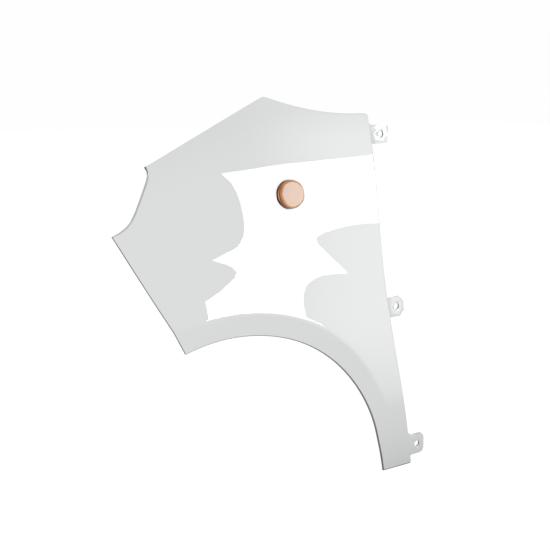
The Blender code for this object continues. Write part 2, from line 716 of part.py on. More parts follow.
def make_lens(lamp_seat):
    """Amber drum with a nearly flat face, hollow behind."""
    rest = lens_rest()
    outer = GASKET_DIAMETER / 2.0 - LENS_INSET
    face = LENS_FACE_DIAMETER / 2.0
    top = LENS_HEIGHT
    rim = outer - LENS_DRAFT
    shoulder = top - LENS_SHOULDER
    inner = SPIGOT_DIAMETER / 2.0 + SEAT_GAP
    quarter = [math.pi / 2.0 * step / SHOULDER_STEPS for step in range(SHOULDER_STEPS + 1)]
    round_edge = [(face + (rim - face) * math.sin(angle), shoulder + LENS_SHOULDER * math.cos(angle))
                  for angle in quarter]
    outline = [(0.0, top + LENS_CROWN), (face / 2.0, top + LENS_CROWN * 3.0 / 4.0)] + round_edge + [
        (outer, rest), (inner, rest), (inner, rest + SPIGOT_HEIGHT), (rim - LENS_WALL, shoulder - LENS_WALL / 2.0),
        (face - LENS_WALL / 2.0, top - LENS_WALL), (face / 2.0, top - LENS_WALL + LENS_CROWN / 2.0),
        (0.0, top - LENS_WALL + LENS_CROWN),
    ]
    return add_object("lamp_lens", turned("lamp_lens", outline, LAMP_STEPS, closed=False), lamp_seat,
                      material("amber_lens", (0.80, 0.28, 0.03), 0.1, transmission=0.6))


def make_bulb(lamp_seat):
    """Wedge-base bulb, sealed glass with a flat foot."""
    radius = BULB_DIAMETER / 2.0
    foot = BULB_TIP - BULB_LENGTH
    dome = [(radius * math.sin(angle), BULB_TIP - radius + radius * math.cos(angle))
            for angle in [math.pi / 2.0 * step / BULB_DOME_STEPS for step in range(BULB_DOME_STEPS + 1)]]
    outline = dome + [(radius, foot + radius / 2.0), (radius / 2.0, foot), (0.0, foot)]
    bulb = add_object("bulb", turned("bulb", outline, SMALL_STEPS, closed=False), lamp_seat,
                      material("bulb_glass", (0.90, 0.90, 0.88), 0.05, transmission=0.8))
    wedge_top = foot + radius / 2.0
    wedge_bottom = foot - WEDGE_LENGTH
    wedge = block("bulb_wedge", (WEDGE_WIDTH, WEDGE_THICKNESS, wedge_top - wedge_bottom),
                  (0.0, 0.0, (wedge_top + wedge_bottom) / 2.0))
    combine(bulb, helper("bulb_wedge", wedge, lamp_seat), "UNION")
    return bulb


def holder_levels():
    """Heights of the bulb holder: its mouth, its flange's two faces and its back end."""
    mouth = BULB_TIP - BULB_LENGTH - SEAT_GAP
    flange_top = -HOUSING_DEPTH - SEAT_GAP
    flange_bottom = flange_top - HOLDER_FLANGE
    return mouth, flange_top, flange_bottom, flange_bottom - SHROUD_LENGTH


def make_holder(lamp_seat):
    """Bulb holder: socket, flange and the shroud round the two contacts."""
    mouth, flange_top, flange_bottom, back = holder_levels()
    neck = BULB_HOLE_DIAMETER / 2.0 - HOLDER_CLEARANCE
    flange = BULB_HOLE_DIAMETER / 2.0 + HOLDER_FLANGE_WIDTH
    outline = [(0.0, mouth), (neck, mouth), (neck, flange_top), (flange, flange_top), (flange, flange_bottom),
               (0.0, flange_bottom)]
    holder = add_object("bulb_holder", turned("bulb_holder", outline, SMALL_STEPS, closed=False), lamp_seat,
                        material("grey_plastic", (0.25, 0.25, 0.26), 0.5))
    shroud = block("shroud", (SHROUD_WIDTH, SHROUD_THICKNESS, flange_top - back),
                   (0.0, 0.0, (flange_top + back) / 2.0))
    combine(holder, helper("shroud", shroud, lamp_seat), "UNION")
    pocket_floor = flange_bottom - SHROUD_WALL
    pocket_end = back - CUT_OVERRUN
    pocket = block("shroud_pocket", (SHROUD_WIDTH - 2.0 * SHROUD_WALL, SHROUD_THICKNESS - 2.0 * SHROUD_WALL,
                                     pocket_floor - pocket_end), (0.0, 0.0, (pocket_floor + pocket_end) / 2.0))
    combine(holder, helper("shroud_pocket", pocket, lamp_seat), "DIFFERENCE")
    slot_top = mouth + CUT_OVERRUN
    slot_bottom = BULB_TIP - BULB_LENGTH - WEDGE_LENGTH - SEAT_GAP
    slot = block("wedge_slot", (WEDGE_WIDTH + 2.0 * SEAT_GAP, WEDGE_THICKNESS + 2.0 * SEAT_GAP,
                                slot_top - slot_bottom), (0.0, 0.0, (slot_top + slot_bottom) / 2.0))
    combine(holder, helper("wedge_slot", slot, lamp_seat), "DIFFERENCE")
    for name, side in (("terminal_1", -1.0), ("terminal_2", 1.0)):
        add_terminal(name, side, pocket_floor, holder, lamp_seat)
    return holder


def add_terminal(name, side, pocket_floor, holder, lamp_seat):
    """Flat contact blade in its own seat in the floor of the shroud."""
    top = pocket_floor + TERMINAL_SEAT
    bottom = pocket_floor - TERMINAL_LENGTH
    place = side * TERMINAL_SPACING / 2.0
    seat_top = top + SEAT_GAP
    seat_bottom = pocket_floor - CUT_OVERRUN
    seat = block(f"{name}_seat", (TERMINAL_WIDTH + 2.0 * SEAT_GAP, TERMINAL_THICKNESS + 2.0 * SEAT_GAP,
                                  seat_top - seat_bottom), (place, 0.0, (seat_top + seat_bottom) / 2.0))
    combine(holder, helper(f"{name}_seat", seat, lamp_seat), "DIFFERENCE")
    blade = block(name, (TERMINAL_WIDTH, TERMINAL_THICKNESS, top - bottom), (place, 0.0, (top + bottom) / 2.0))
    return add_object(name, blade, lamp_seat, material(f"{name}_tin", (0.70, 0.70, 0.72), 0.3, metallic=1.0))


def build():
    """Model the fender and its lamp, with the seat of the middle ear at the origin."""
    clear_scene()
    datum = ear_hole(1) + Vector((0.0, WALL, -DATUM_BELOW_HOLE))
    wheel_centre = add_empty("wheel_centre", -datum, (0.0, 0.0, 0.0))
    lamp_seat = add_empty("lamp_seat", on_skin(Vector((LAMP_SETBACK, 0.0, LAMP_HEIGHT))), lamp_rotation(),
                          wheel_centre)
    make_fender(wheel_centre, lamp_seat)
    make_gasket(lamp_seat)
    make_housing(lamp_seat)
    make_lens(lamp_seat)
    make_bulb(lamp_seat)
    make_holder(lamp_seat)


build()
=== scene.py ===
import math

import bpy
from mathutils import Matrix, Vector


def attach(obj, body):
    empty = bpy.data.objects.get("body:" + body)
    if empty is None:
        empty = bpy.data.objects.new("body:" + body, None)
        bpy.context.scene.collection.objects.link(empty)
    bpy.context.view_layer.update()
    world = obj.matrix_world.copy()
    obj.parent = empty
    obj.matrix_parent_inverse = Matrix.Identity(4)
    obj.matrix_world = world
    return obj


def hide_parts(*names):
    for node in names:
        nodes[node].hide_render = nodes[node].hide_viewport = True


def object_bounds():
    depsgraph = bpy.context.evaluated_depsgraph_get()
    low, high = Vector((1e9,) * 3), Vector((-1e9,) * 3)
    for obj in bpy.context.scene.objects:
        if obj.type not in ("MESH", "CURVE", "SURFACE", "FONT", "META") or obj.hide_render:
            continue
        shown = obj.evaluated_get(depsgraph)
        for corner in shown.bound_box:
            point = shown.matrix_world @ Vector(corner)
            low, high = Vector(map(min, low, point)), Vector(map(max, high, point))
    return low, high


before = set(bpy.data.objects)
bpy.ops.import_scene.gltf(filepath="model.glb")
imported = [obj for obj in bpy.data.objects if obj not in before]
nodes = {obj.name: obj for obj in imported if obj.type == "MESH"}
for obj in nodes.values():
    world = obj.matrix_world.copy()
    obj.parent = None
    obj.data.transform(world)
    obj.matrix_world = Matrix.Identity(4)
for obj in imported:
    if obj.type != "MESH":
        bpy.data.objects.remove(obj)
cad_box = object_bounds()

# Fender panel: one thin moulding of tough plastic, painted light silver under a clear coat on its outer side, and
# primed dark grey on its inner side and on its lips, ears' edges and hole walls, where the dark grey also stands for
# their shade. The same dark grey on the rounded edges round the rear of the arch and on a thin strip along the sill,
# and a paler grey on the headlamp notch's edge and the door edge, is painted shade. It is bowed towards the front,
# crowned towards the bonnet and tucked under at the sill. The visible panel is a copy of the solid with finer faces,
# laid back on the skin it was drawn on.
WHEEL_CENTRE = Vector((-0.36103, -0.0122, -0.3568))
WALL = 0.003
BOW_DEPTH = 0.073
BOW_LENGTH = 0.624
BOW_START = 0.400
CROWN_DEPTH = 0.0686
CROWN_LENGTH = 0.537
CROWN_START = 0.250
CROWN_FALL = 0.052
CROWN_FALL_START = 0.250
CROWN_FALL_LENGTH = 0.405
TUCK_START = 0.190
TUCK_BLEND = 0.080
TUCK_ANGLE = math.radians(5.0)
ARCH_HALF_LENGTH = 0.330
ARCH_HEIGHT = 0.3545
BAND_WIDTH = 0.038
BAND_LEAN = math.radians(12.0)
BAND_SOFTNESS = 0.004
BAND_FADE_ANGLE = math.radians(60.0)
DOOR_WAIST_SETBACK = 0.3078
DOOR_WAIST_HEIGHT = 0.610
DOOR_TOP_RISE = 0.1413
DOOR_TOP_LEAN = 0.0062
DOOR_BLEND = 0.270
DOOR_RAKE_SHARE = 0.238
ON_SKIN = 0.00035
MERGE_DISTANCE = 0.00002
FLAT_ANGLE = math.radians(30.0)
SQUARE_ANGLE = math.radians(60.0)
EDGE_ANGLE = math.radians(50.0)
ROUNDING_ANGLE = math.radians(16.0)
SIDEWAYS_SHARE = 0.6
TURNED_SHARE = 0.2
EDGE_RADIUS = 0.0015
TIP_HEIGHT = 0.5485
NOTCH_CORNER_HEIGHT = 0.652
SILL_HEIGHT = 0.030
SILL_SHADE_WIDTH = 0.0024
PAINT_COLOUR = (0.687, 0.694, 0.696)
PAINT_FLECK = (0.707, 0.714, 0.716)
PRIMER_AND_EDGE_SHADE_COLOUR = (0.11, 0.11, 0.107)
PRIMER_AND_EDGE_SHADE_FLECK = (0.145, 0.145, 0.141)
PALE_EDGE_SHADE_COLOUR = (0.40, 0.405, 0.405)
PALE_EDGE_SHADE_FLECK = (0.47, 0.475, 0.475)
FLECK_SIZE = 1400.0
PAINT_ROUGHNESS = 0.5
EDGE_ROUGHNESS = 0.6
COAT_ROUGHNESS = 0.01
OPAQUE = 1.0


def skin_depth(x, z, banded=1.0):
    """How far inboard the skin's outer face lies at a point of the side view, from the wheel's centre."""
    bow = BOW_DEPTH * (max(BOW_START - x, 0.0) / BOW_LENGTH) ** 3
    fall = CROWN_FALL * (max(CROWN_FALL_START - x, 0.0) / CROWN_FALL_LENGTH) ** 2
    crown = CROWN_DEPTH * (max(z + fall - CROWN_START, 0.0) / CROWN_LENGTH) ** 4
    below = max(TUCK_START - z, 0.0)
    blended = min(below, TUCK_BLEND)
    tuck = math.tan(TUCK_ANGLE) * (blended ** 2 / (2.0 * TUCK_BLEND) + below - blended)
    inside = ARCH_HALF_LENGTH + BAND_WIDTH - math.hypot(x, z * ARCH_HALF_LENGTH / ARCH_HEIGHT)
    leaning = 0.5 * (inside + math.hypot(inside, BAND_SOFTNESS))
    share = min(max(math.atan2(z, x) / BAND_FADE_ANGLE, 0.0), 1.0)
    band = math.tan(BAND_LEAN) * leaning * share ** 2 * (3.0 - 2.0 * share)
    return bow + crown + tuck + banded * band


def skin_normal(x, z, banded=1.0):
    """Outward direction of the skin, scaled so that it reaches one metre outboard."""
    along = skin_depth(x + WALL, z, banded) - skin_depth(x - WALL, z, banded)
    up = skin_depth(x, z + WALL, banded) - skin_depth(x, z - WALL, banded)
    return Vector((along / (2.0 * WALL), -1.0, up / (2.0 * WALL)))


def door_edge(z):
    """How far back the skin reaches at a height."""
    rise = max(z - DOOR_WAIST_HEIGHT, 0.0)
    drop = max(DOOR_WAIST_HEIGHT - z, 0.0)
    blended = min(drop, DOOR_BLEND)
    lean = DOOR_RAKE_SHARE * (blended ** 2 / (2.0 * DOOR_BLEND) + drop - blended)
    return DOOR_WAIST_SETBACK + DOOR_TOP_LEAN * (rise / DOOR_TOP_RISE) ** 2 + lean


def own_copy(node, name):
    """A visible copy of a solid, with its loose triangles merged into one mesh."""
    bpy.ops.object.select_all(action="DESELECT")
    bpy.context.view_layer.objects.active = nodes[node]
    nodes[node].select_set(True)
    bpy.ops.object.duplicate()
    piece = bpy.context.active_object
    piece.name = name
    piece.data.name = name
    piece.parent = None
    for key in list(piece.keys()):
        del piece[key]
    bpy.ops.object.mode_set(mode="EDIT")
    bpy.ops.mesh.select_all(action="SELECT")
    bpy.ops.mesh.remove_doubles(threshold=MERGE_DISTANCE)
    bpy.ops.mesh.tris_convert_to_quads(face_threshold=FLAT_ANGLE, shape_threshold=SQUARE_ANGLE)
    bpy.ops.object.mode_set(mode="OBJECT")
    return piece


def apply_all(piece):
    """Apply every modifier of a piece."""
    bpy.ops.object.select_all(action="DESELECT")
    bpy.context.view_layer.objects.active = piece
    piece.select_set(True)
    for modifier in list(piece.modifiers):
        bpy.ops.object.modifier_apply(modifier=modifier.name)


def dress(piece, node, slot, *finishes):
    """Give a finished piece its materials and let it stand for its solid."""
    piece.data.materials.clear()
    for finish in finishes:
        piece.data.materials.append(finish)
    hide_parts(node)
    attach(piece, "root")


def shader_of(material):
    """The node that holds a material's surface values."""
    return material.node_tree.nodes["Principled BSDF"]


def new_material(name, **values):
    """Material whose shader has the given values, named after its sockets."""
    made = bpy.data.materials.new(name)
    made.use_nodes = True
    for socket, value in values.items():
        shader_of(made).inputs[socket.replace("_", " ")].default_value = value
    return made


def speckled(name, colour, fleck, size, roughness, depth=0.0, **values):
    """Material whose colour wavers between two tones, with a fine grain of some depth."""
    made = new_material(name, Roughness=roughness, **values)
    body = shader_of(made)
    tree = made.node_tree
    where = tree.nodes.new("ShaderNodeTexCoord")
    grain = tree.nodes.new("ShaderNodeTexNoise")
    grain.inputs["Scale"].default_value = size
    tone = tree.nodes.new("ShaderNodeValToRGB")
    tone.color_ramp.elements[0].color = (*colour, OPAQUE)
    tone.color_ramp.elements[1].color = (*fleck, OPAQUE)
    tree.links.new(where.outputs["Object"], grain.inputs["Vector"])
    tree.links.new(grain.outputs["Fac"], tone.inputs["Fac"])
    tree.links.new(tone.outputs["Color"], body.inputs["Base Color"])
    if depth:
        bump = tree.nodes.new("ShaderNodeBump")
        bump.inputs["Distance"].default_value = depth
        tree.links.new(grain.outputs["Fac"], bump.inputs["Height"])
        tree.links.new(bump.outputs["Normal"], body.inputs["Normal"])
    return made


panel = own_copy("fender_panel", "fender_skin")
bpy.ops.object.mode_set(mode="EDIT")
bpy.ops.mesh.select_all(action="SELECT")
bpy.ops.mesh.subdivide(number_cuts=1)
# A cut along the sill bounds the thin strip of painted shade there.
sill_shade_edge = WHEEL_CENTRE + Vector((0.0, 0.0, SILL_HEIGHT + SILL_SHADE_WIDTH))
bpy.ops.mesh.bisect(plane_co=sill_shade_edge, plane_no=(0.0, 0.0, 1.0))
bpy.ops.object.mode_set(mode="OBJECT")
normals = [vertex.normal.copy() for vertex in panel.data.vertices]
for vertex, normal in zip(panel.data.vertices, normals):
    place = vertex.co - WHEEL_CENTRE
    if place.x > door_edge(place.z):
        continue
    outward = skin_normal(place.x, place.z)
    outer_face = skin_depth(place.x, place.z)
    inner_face = outer_face + WALL * outward.length
    for face, side in ((outer_face, outward), (inner_face, -outward)):
        if abs(place.y - face) < ON_SKIN and normal.angle(side) < ROUNDING_ANGLE:
            vertex.co.y = face + WHEEL_CENTRE.y
bpy.ops.object.shade_smooth_by_angle(angle=EDGE_ANGLE)
even = panel.modifiers.new("even_shading", "WEIGHTED_NORMAL")
even.keep_sharp = True
apply_all(panel)

paint = speckled("painted_plastic", PAINT_COLOUR, PAINT_FLECK, FLECK_SIZE, PAINT_ROUGHNESS,
                 Specular_IOR_Level=0.0, Coat_Weight=1.0, Coat_Roughness=COAT_ROUGHNESS)
primer_and_edge_shade_finish = speckled("primer_and_painted_edge_shade", PRIMER_AND_EDGE_SHADE_COLOUR, PRIMER_AND_EDGE_SHADE_FLECK, FLECK_SIZE, EDGE_ROUGHNESS)
# The paler grey is painted shade, a thin line on the headlamp notch's edge and along the door edge.
pale_edge_shade_finish = speckled("painted_pale_edge_shade", PALE_EDGE_SHADE_COLOUR, PALE_EDGE_SHADE_FLECK, FLECK_SIZE, EDGE_ROUGHNESS)
PAINTED, PRIMER_OR_EDGE_SHADE, PALE_EDGE_SHADE = range(3)

dress(panel, "fender_panel", "painted_plastic", paint, primer_and_edge_shade_finish, pale_edge_shade_finish)
for face in panel.data.polygons:
    middle = face.center - WHEEL_CENTRE
    sunk = middle.y - skin_depth(middle.x, middle.z)
    leaned = face.normal - skin_normal(middle.x, middle.z).normalized()
    turned = leaned.length > TURNED_SHARE
    sideways = abs(face.normal.y) < SIDEWAYS_SHARE
    past_door_edge = middle.x > door_edge(middle.z)
    at_door_edge = not past_door_edge and middle.x > door_edge(middle.z) - EDGE_RADIUS
    in_notch = middle.x < 0.0 and TIP_HEIGHT < middle.z < NOTCH_CORNER_HEIGHT
    inner_side = face.normal.y > SIDEWAYS_SHARE
    lip = sideways and face.normal.x < SIDEWAYS_SHARE and face.normal.z < SIDEWAYS_SHARE
    rounding = turned and sunk < EDGE_RADIUS and face.normal.y < 0.0
    at_arch = middle.z < TIP_HEIGHT and (middle.x > 0.0 or leaned.x > -TURNED_SHARE / 2.0)
    at_sill = middle.z < SILL_HEIGHT + SILL_SHADE_WIDTH
    # Primed dark grey inside and on the ears' edges and hole walls, also standing for their shade; on the strip along
    # the sill it is painted shade.
    if inner_side or at_sill or past_door_edge and sideways:
        face.material_index = PRIMER_OR_EDGE_SHADE
    elif past_door_edge:
        face.material_index = PAINTED
    # Paler grey as painted shade on the notch's edge and along the door edge's rounding.
    elif in_notch and (lip or rounding) or at_door_edge and rounding:
        face.material_index = PALE_EDGE_SHADE
    # Dark grey on the lips, also standing for their shade, and as painted shade on the rounded edges round the rear
    # of the arch.
    elif lip or rounding and at_arch:
        face.material_index = PRIMER_OR_EDGE_SHADE

# Lamp base: a black plastic cup that snaps into the panel from outside, on a flat rubber ring that keeps water out.
# Both are turned shapes with softened edges, and two hooks on the cup's sides grip the panel from behind.
SOFT_EDGE = 0.0002
SOFT_EDGE_STEPS = 2
TURNED_ANGLE = math.radians(35.0)
RUBBER_COLOUR = (0.016, 0.010, 0.008)
RUBBER_FLECK = (0.026, 0.017, 0.014)
RUBBER_GRAIN_SIZE = 700.0
RUBBER_ROUGHNESS = 0.7
RUBBER_GRAIN_DEPTH = 0.00005
BASE_COLOUR = (0.020, 0.012, 0.009)
BASE_FLECK = (0.032, 0.021, 0.017)
BASE_GRAIN_SIZE = 1800.0
BASE_ROUGHNESS = 0.4
BASE_GRAIN_DEPTH = 0.00003
DARK_GLOSS = 0.2


def softened(node, name, slot, finish):
    """A solid's visible copy with its sharp edges rounded, in its own material."""
    piece = own_copy(node, name)
    rounding = piece.modifiers.new("soft_edges", "BEVEL")
    rounding.width = SOFT_EDGE
    rounding.segments = SOFT_EDGE_STEPS
    rounding.limit_method = "ANGLE"
    rounding.angle_limit = TURNED_ANGLE
    apply_all(piece)
    bpy.ops.object.shade_smooth_by_angle(angle=TURNED_ANGLE)
    dress(piece, node, slot, finish)
    return piece


rubber = speckled("black_rubber", RUBBER_COLOUR, RUBBER_FLECK, RUBBER_GRAIN_SIZE, RUBBER_ROUGHNESS,
                  RUBBER_GRAIN_DEPTH, Specular_IOR_Level=DARK_GLOSS)
seal = softened("lamp_gasket", "lamp_seal", "black_rubber", rubber)
black = speckled("black_plastic", BASE_COLOUR, BASE_FLECK, BASE_GRAIN_SIZE, BASE_ROUGHNESS,
                 BASE_GRAIN_DEPTH, Specular_IOR_Level=DARK_GLOSS)
lamp_base = softened("lamp_housing", "lamp_base", "black_plastic", black)

# Bulb and its holder: a small wedge-foot bulb of clear glass, pushed into a grey socket that closes the cup from
# behind. The socket carries the shroud for the plug and two tinned contact blades.
GLASS_COLOUR = (0.88, 0.88, 0.86)
GLASS_WAVER = (0.93, 0.93, 0.92)
GLASS_WAVER_SIZE = 300.0
GLASS_ROUGHNESS = 0.04
GLASS_CLEARNESS = 0.85
SOCKET_COLOUR = (0.20, 0.20, 0.21)
SOCKET_FLECK = (0.27, 0.27, 0.28)
SOCKET_GRAIN_SIZE = 1500.0
SOCKET_ROUGHNESS = 0.45
SOCKET_GRAIN_DEPTH = 0.00003
TIN_COLOUR = (0.62, 0.62, 0.63)
TIN_FLECK = (0.74, 0.74, 0.75)
TIN_GRAIN_SIZE = 2500.0
TIN_ROUGHNESS = 0.3
TIN_GRAIN_DEPTH = 0.00002

clear = speckled("bulb_glass", GLASS_COLOUR, GLASS_WAVER, GLASS_WAVER_SIZE, GLASS_ROUGHNESS,
                 Transmission_Weight=GLASS_CLEARNESS)
softened("bulb", "bulb_envelope", "bulb_glass", clear)
grey = speckled("grey_plastic", SOCKET_COLOUR, SOCKET_FLECK, SOCKET_GRAIN_SIZE, SOCKET_ROUGHNESS,
                SOCKET_GRAIN_DEPTH)
softened("bulb_holder", "bulb_socket", "grey_plastic", grey)
for number in (1, 2):
    tinned = speckled(f"tin_{number}", TIN_COLOUR, TIN_FLECK, TIN_GRAIN_SIZE, TIN_ROUGHNESS, TIN_GRAIN_DEPTH,
                      Metallic=1.0)
    softened(f"terminal_{number}", f"contact_blade_{number}", "tin", tinned)

# Lens: a shallow amber drum, moulded in one shot and welded to the lamp base. Its face is almost flat, its shoulder
# rounded, and fine flutes run up the inside of its wall. Its amber runs near black at its foot, painted shade where
# it meets the black base, which also shows through, and pale on its shoulder, a painted highlight.
# The paint round the lamp is too bright to show the lamp's mirror image.
LAMP_SETBACK = 0.1024
LAMP_HEIGHT = 0.6075
LENS_TURNS = 96
LENS_REST = 0.0053
LENS_TOP = 0.0148
LENS_CROWN = 0.0006
LENS_RADIUS = 0.02625
LENS_RIM_RADIUS = 0.02565
LENS_FACE_RADIUS = 0.0219
LENS_SHOULDER = 0.003
LENS_SHOULDER_STEPS = 8
LENS_WALL = 0.002
LENS_MOUTH_RADIUS = 0.0223
LENS_MOUTH_DEPTH = 0.003
FLUTE_DEPTH = 0.00035
# Amber by height, with painted shade darkening the foot where it meets the black base and a painted highlight on the
# shoulder.
LENS_TONES_WITH_PAINTED_LIGHT = (
    (0.0, (0.02, 0.006, 0.003)), (0.12, (0.06, 0.014, 0.004)), (0.45, (0.38, 0.045, 0.002)),
    (0.68, (0.44, 0.075, 0.003)), (0.93, (0.86, 0.42, 0.085)), (1.0, (0.44, 0.177, 0.027)),
)
LENS_WAVER = 0.0006
LENS_WAVER_SIZE = 240.0
LENS_ROUGHNESS = 0.06
LENS_BENDING = 1.52
LENS_CLEARNESS = 0.4
HUB_SHARE = 1.0 / 8.0
MIDDLE_SHARE = 1.0 / 2.0
MIDDLE_CROWN_SHARE = 3.0 / 4.0
INNER_CROWN_SHARE = 1.0 / 2.0
INNER_DROP_SHARE = 1.0 / 2.0


def add_tones(tree, stops):
    """Colour ramp node with the given (share, colour) stops."""
    tones = tree.nodes.new("ShaderNodeValToRGB")
    for share, colour in stops[1:-1]:
        tones.color_ramp.elements.new(share)
    for stop, (share, colour) in zip(tones.color_ramp.elements, stops):
        stop.position = share
        stop.color = (*colour, OPAQUE)
    return tones


shoulder = LENS_TOP - LENS_SHOULDER
rounded = [(LENS_FACE_RADIUS + (LENS_RIM_RADIUS - LENS_FACE_RADIUS) * math.sin(turn),
            shoulder + LENS_SHOULDER * math.cos(turn))
           for turn in [math.pi / 2.0 * step / LENS_SHOULDER_STEPS for step in range(LENS_SHOULDER_STEPS + 1)]]
lens_outline = [
    (LENS_FACE_RADIUS * HUB_SHARE, LENS_TOP + LENS_CROWN),
    (LENS_FACE_RADIUS * MIDDLE_SHARE, LENS_TOP + LENS_CROWN * MIDDLE_CROWN_SHARE),
    *rounded,
    (LENS_RADIUS, LENS_REST),
    (LENS_MOUTH_RADIUS, LENS_REST),
    (LENS_MOUTH_RADIUS, LENS_REST + LENS_MOUTH_DEPTH),
    (LENS_RIM_RADIUS - LENS_WALL, shoulder - LENS_WALL * INNER_DROP_SHARE),
    (LENS_FACE_RADIUS - LENS_WALL * INNER_DROP_SHARE, LENS_TOP - LENS_WALL),
    (LENS_FACE_RADIUS * MIDDLE_SHARE, LENS_TOP - LENS_WALL + LENS_CROWN * INNER_CROWN_SHARE),
    (LENS_FACE_RADIUS * HUB_SHARE, LENS_TOP - LENS_WALL + LENS_CROWN),
]
FLUTED = 4

bpy.ops.object.select_all(action="DESELECT")
radius, height = lens_outline[0]
bpy.ops.mesh.primitive_circle_add(vertices=LENS_TURNS, radius=radius, fill_type="NGON", location=(0.0, 0.0, 0.0))
lens = bpy.context.active_object
lens.name = "lens"
bpy.ops.object.mode_set(mode="EDIT")
bpy.ops.mesh.select_all(action="SELECT")
bpy.ops.transform.translate(value=(0.0, 0.0, height))
bpy.ops.mesh.select_mode(type="EDGE")
bpy.ops.mesh.select_all(action="SELECT")
for wider, lower in lens_outline[1:]:
    bpy.ops.mesh.extrude_edges_move(TRANSFORM_OT_translate={"value": (0.0, 0.0, lower - height)})
    bpy.ops.transform.resize(value=(wider / radius, wider / radius, 1.0))
    radius, height = wider, lower
bpy.ops.mesh.edge_face_add()
bpy.ops.mesh.select_all(action="SELECT")
bpy.ops.mesh.normals_make_consistent(inside=False)
bpy.ops.object.mode_set(mode="OBJECT")
rings = [lens.data.vertices[start:start + LENS_TURNS] for start in range(0, len(lens.data.vertices), LENS_TURNS)]
for ring in rings[-FLUTED:-1]:
    for vertex in ring[::2]:
        side = Vector((vertex.co.x, vertex.co.y, 0.0)).normalized()
        vertex.co += (side + Vector((0.0, 0.0, 1.0))) * FLUTE_DEPTH
seat = WHEEL_CENTRE + Vector((LAMP_SETBACK, skin_depth(LAMP_SETBACK, LAMP_HEIGHT), LAMP_HEIGHT))
lean = skin_normal(LAMP_SETBACK, LAMP_HEIGHT).to_track_quat("Z", "Y")
lens.data.transform(Matrix.LocRotScale(seat, lean, None))
bpy.ops.object.shade_smooth_by_angle(angle=TURNED_ANGLE)
amber = new_material("amber_lens", Roughness=LENS_ROUGHNESS, IOR=LENS_BENDING, Transmission_Weight=LENS_CLEARNESS)
tree = amber.node_tree
where = tree.nodes.new("ShaderNodeTexCoord")
own_place = tree.nodes.new("ShaderNodeMapping")
own_place.vector_type = "TEXTURE"
own_place.inputs["Location"].default_value = seat
own_place.inputs["Rotation"].default_value = lean.to_euler()
parts = tree.nodes.new("ShaderNodeSeparateXYZ")
cloud = tree.nodes.new("ShaderNodeTexNoise")
cloud.inputs["Scale"].default_value = LENS_WAVER_SIZE
waver = tree.nodes.new("ShaderNodeMapRange")
waver.inputs["To Min"].default_value = -LENS_WAVER
waver.inputs["To Max"].default_value = LENS_WAVER
wavering = tree.nodes.new("ShaderNodeMath")
rising = tree.nodes.new("ShaderNodeMapRange")
rising.inputs["From Min"].default_value = LENS_REST
rising.inputs["From Max"].default_value = LENS_TOP
tones = add_tones(tree, LENS_TONES_WITH_PAINTED_LIGHT)
tree.links.new(where.outputs["Object"], own_place.inputs["Vector"])
tree.links.new(own_place.outputs["Vector"], parts.inputs["Vector"])
tree.links.new(own_place.outputs["Vector"], cloud.inputs["Vector"])
tree.links.new(cloud.outputs["Fac"], waver.inputs["Value"])
tree.links.new(parts.outputs["Z"], wavering.inputs[0])
tree.links.new(waver.outputs["Result"], wavering.inputs[1])
tree.links.new(wavering.outputs["Value"], rising.inputs["Value"])
tree.links.new(rising.outputs["Result"], tones.inputs["Fac"])
tree.links.new(tones.outputs["Color"], shader_of(amber).inputs["Base Color"])
dress(lens, "lamp_lens", "amber_lens", amber)
for piece in (seal, lamp_base, lens):
    piece.visible_glossy = False

# Camera: on the left of the car, ahead of the panel and a little above it, as the photograph was taken.
CAMERA_TURN = math.radians(36.0)
CAMERA_RISE = math.radians(10.2)
CAMERA_DISTANCE = 1.862
CAMERA_AIM = WHEEL_CENTRE + Vector((0.055, 0.0, 0.467))
CAMERA_LENS = 67.7
SENSOR = 36.0
PICTURE = 550.0

away = Vector((-math.sin(CAMERA_TURN) * math.cos(CAMERA_RISE), -math.cos(CAMERA_TURN) * math.cos(CAMERA_RISE),
               math.sin(CAMERA_RISE)))
bpy.ops.object.camera_add(location=CAMERA_AIM + away * CAMERA_DISTANCE,
                          rotation=away.to_track_quat("Z", "Y").to_euler())
camera = bpy.context.active_object
camera.name = "camera"
camera.data.lens = CAMERA_LENS
camera.data.sensor_width = SENSOR
bpy.context.scene.camera = camera

# Lit window: the white shape on the paint is the mirror image of one bright opening. Its outline is read in the
# photograph, in pixels, sent from the camera to the skin and mirrored there to where the opening stands.
WINDOW_DISTANCE = 2.2
WINDOW_BEARING = math.radians(27.0)
WINDOW_LIGHT = 11.0
SKIN_TRIES = 40
SKIN_STEP_SHARE = 0.7
WHITE = (1.0, 1.0, 1.0, OPAQUE)
BLACK = (0.0, 0.0, 0.0, OPAQUE)
WINDOW_OUTLINE = (
    (221, 173.5), (240, 170.8), (261, 167.7), (287, 163.5), (301, 162.2), (336, 158.7), (372, 155.3), (396, 153.5),
    (412, 222), (378, 223), (364, 223.5), (351, 225.5), (337, 228.5), (325, 232.5), (318, 236), (315.5, 239.5),
    (319, 245), (329, 255), (341, 266), (347.5, 273.5),
    (334, 274), (321.5, 276), (312, 280.5), (306, 286.5), (303.5, 295), (303.5, 305), (305, 315), (306, 322),
    (309, 327), (320, 334), (320, 345), (209, 345), (208.5, 321), (207, 312), (205.5, 302),
    (221, 291), (235, 277.2), (236.6, 272.2), (231.6, 266.6), (221, 262.6), (212, 260.5),
    (222, 255.2), (232.6, 250), (238.2, 246), (241.4, 241), (243.4, 236.5), (244.5, 229.5), (243.4, 218),
    (240.7, 204), (236.8, 192.5), (231, 182.5),
)


